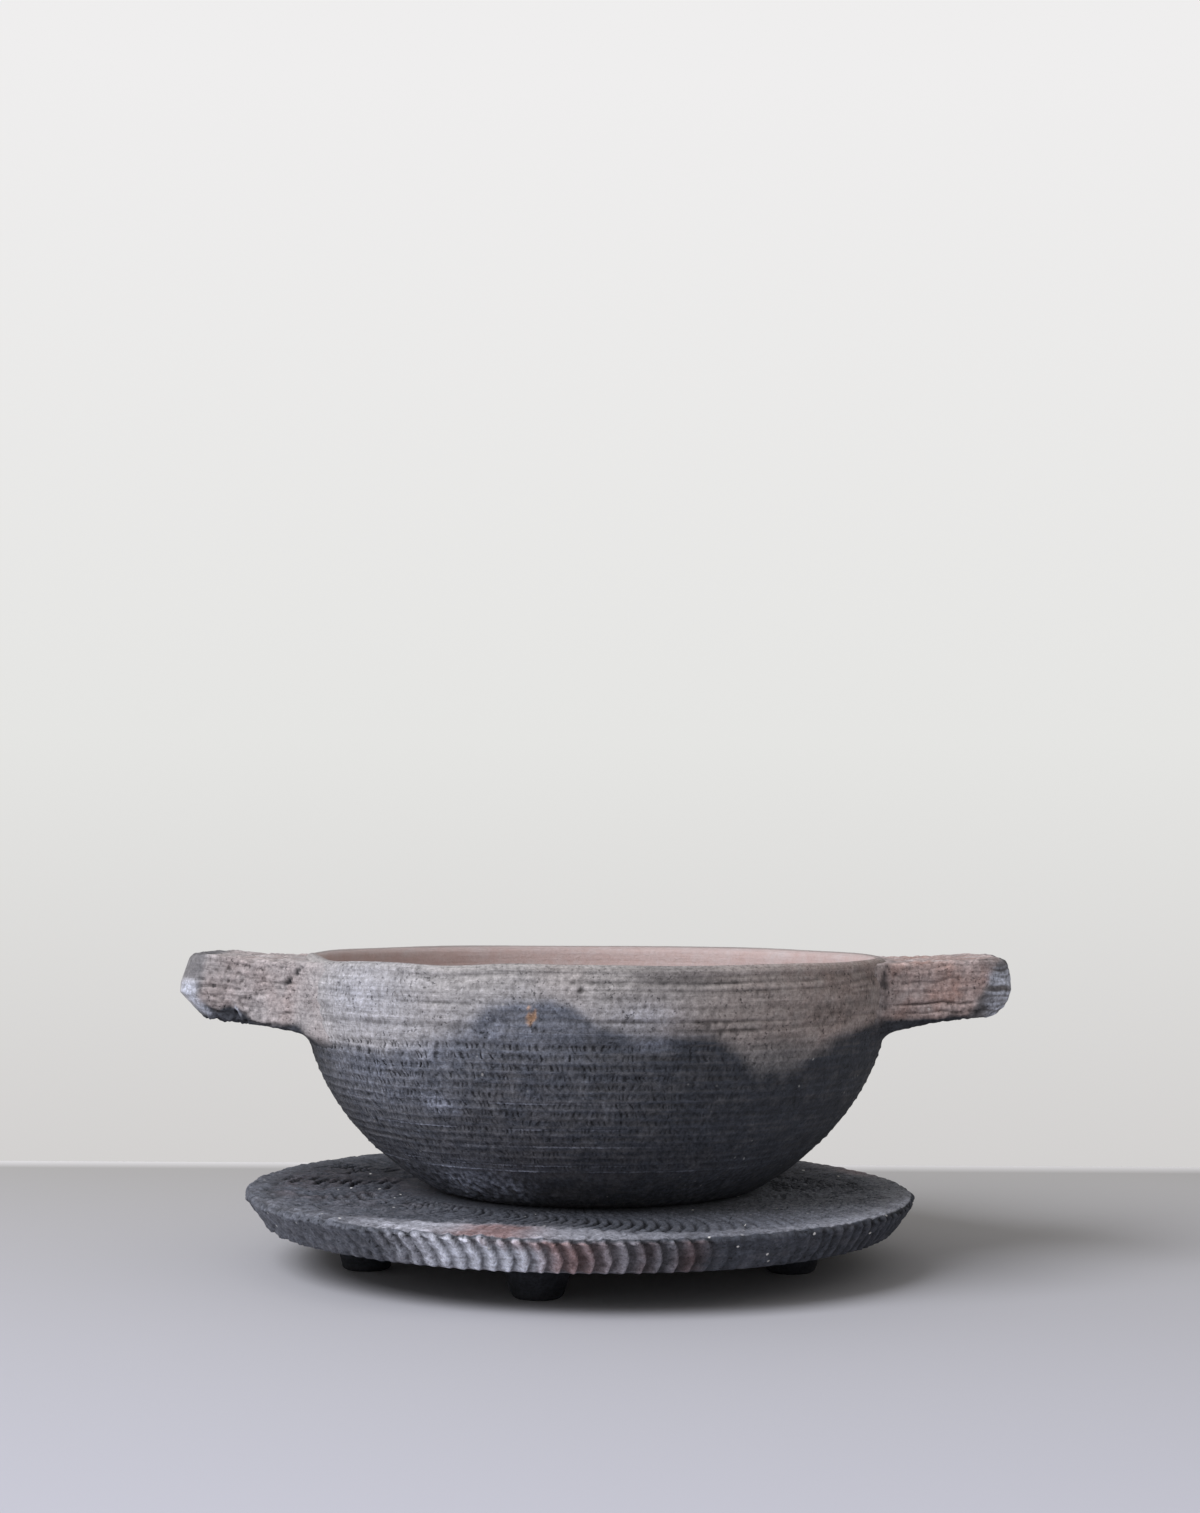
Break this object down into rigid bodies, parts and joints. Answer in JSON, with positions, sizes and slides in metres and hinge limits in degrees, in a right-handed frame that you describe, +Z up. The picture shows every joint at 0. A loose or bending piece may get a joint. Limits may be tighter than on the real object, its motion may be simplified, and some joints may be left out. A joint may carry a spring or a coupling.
{
  "type": "cooking pot",
  "caption": "Bowl-shaped unglazed ceramic cooking pot with slab lug handles, standing loose on a round footed stand of the same smoke-fired clay.",
  "frame": {"origin": "on the ground under the middle of the object, below the pot's own axis", "axes": "+Z up along the pot's axis, +X through the two handles, the front of the object faces -Y"},
  "size_m": [0.317, 0.2552, 0.1162],
  "materials": {
    "pot_clay": "unglazed smoke-fired stoneware, charcoal below and beige round the shoulder, combed and pitted",
    "handle_clay": "unglazed smoke-fired stoneware, torn grooves, beige to pinkish brown with charcoal ends",
    "stand_clay": "unglazed smoke-fired stoneware, charcoal with combed top, fluted edge and pale grit"
  },
  "bodies": {
    "stand": {"stand_plate": "stand_clay", "foot_left": "stand_clay", "foot_front": "stand_clay", "foot_right": "stand_clay", "foot_back_right": "stand_clay", "foot_back_left": "stand_clay"},
    "pot": {"pot_bowl": "pot_clay", "left_handle": "handle_clay", "right_handle": "handle_clay"}
  },
  "joints": [
    {"name": "pot_lift", "type": "slide", "parent": "stand", "child": "pot", "axis": [0, 0, 1], "range_m": [0, 0.12]}
  ]
}
